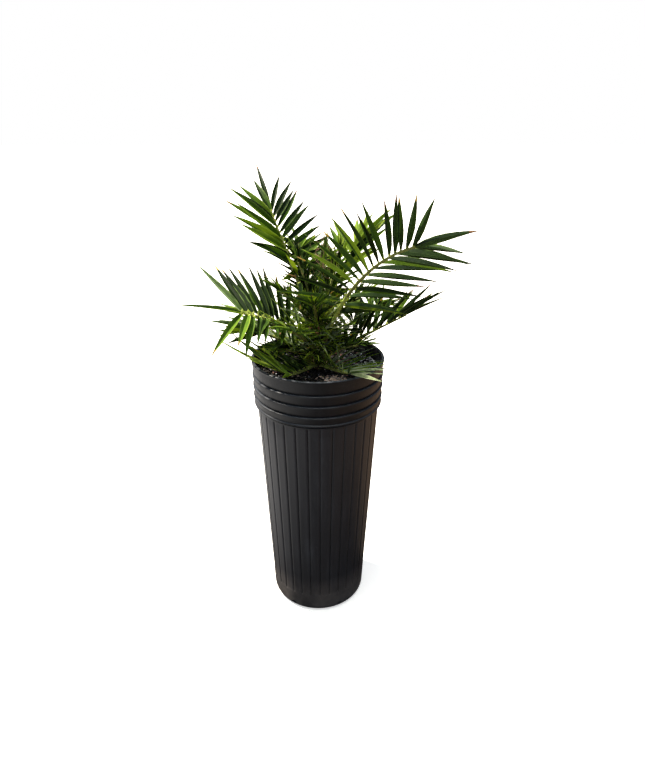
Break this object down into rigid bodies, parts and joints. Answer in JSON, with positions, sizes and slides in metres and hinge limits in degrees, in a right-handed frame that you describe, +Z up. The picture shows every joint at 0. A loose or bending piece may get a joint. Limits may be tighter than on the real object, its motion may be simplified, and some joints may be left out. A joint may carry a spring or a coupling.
{
  "type": "potted date palm",
  "caption": "Young feather-leaved date palm, fronds arching from a short stem, in a tall round tapering nursery pot with potting mix.",
  "frame": {"origin": "centre of the pot's flat underside", "axes": "+Z up along the pot and the stem, -Y towards the pictured front, +X to its right"},
  "size_m": [0.4332, 0.5607, 0.7689],
  "materials": {
    "pot": "near-black moulded polypropylene, slightly glossy",
    "potting_mix": "dark bark and peat mix with pale grit",
    "stem": "fibrous leaf bases, brown to dull green",
    "spear_leaf": "grey-green folded young leaf",
    "frond": "leathery green leaf, waxy on its upper face"
  },
  "bodies": {
    "root": {"pot": "pot", "potting_mix": "potting_mix", "stem": "stem", "spear_leaf": "spear_leaf", "frond_upper_left": "frond", "frond_upper_right": "frond", "frond_front_left": "frond", "frond_front_right": "frond", "frond_mid_left": "frond", "frond_low_left": "frond", "frond_low_right": "frond", "frond_front": "frond", "frond_front_low": "frond", "frond_low_front_left": "frond", "frond_centre_front": "frond", "frond_centre_left": "frond", "frond_centre_right": "frond", "frond_inner_left": "frond", "frond_inner_right": "frond", "frond_back_right": "frond", "frond_back_left": "frond", "frond_back": "frond", "frond_back_low_right": "frond", "frond_back_low_left": "frond", "frond_back_low": "frond"}
  },
  "joints": []
}
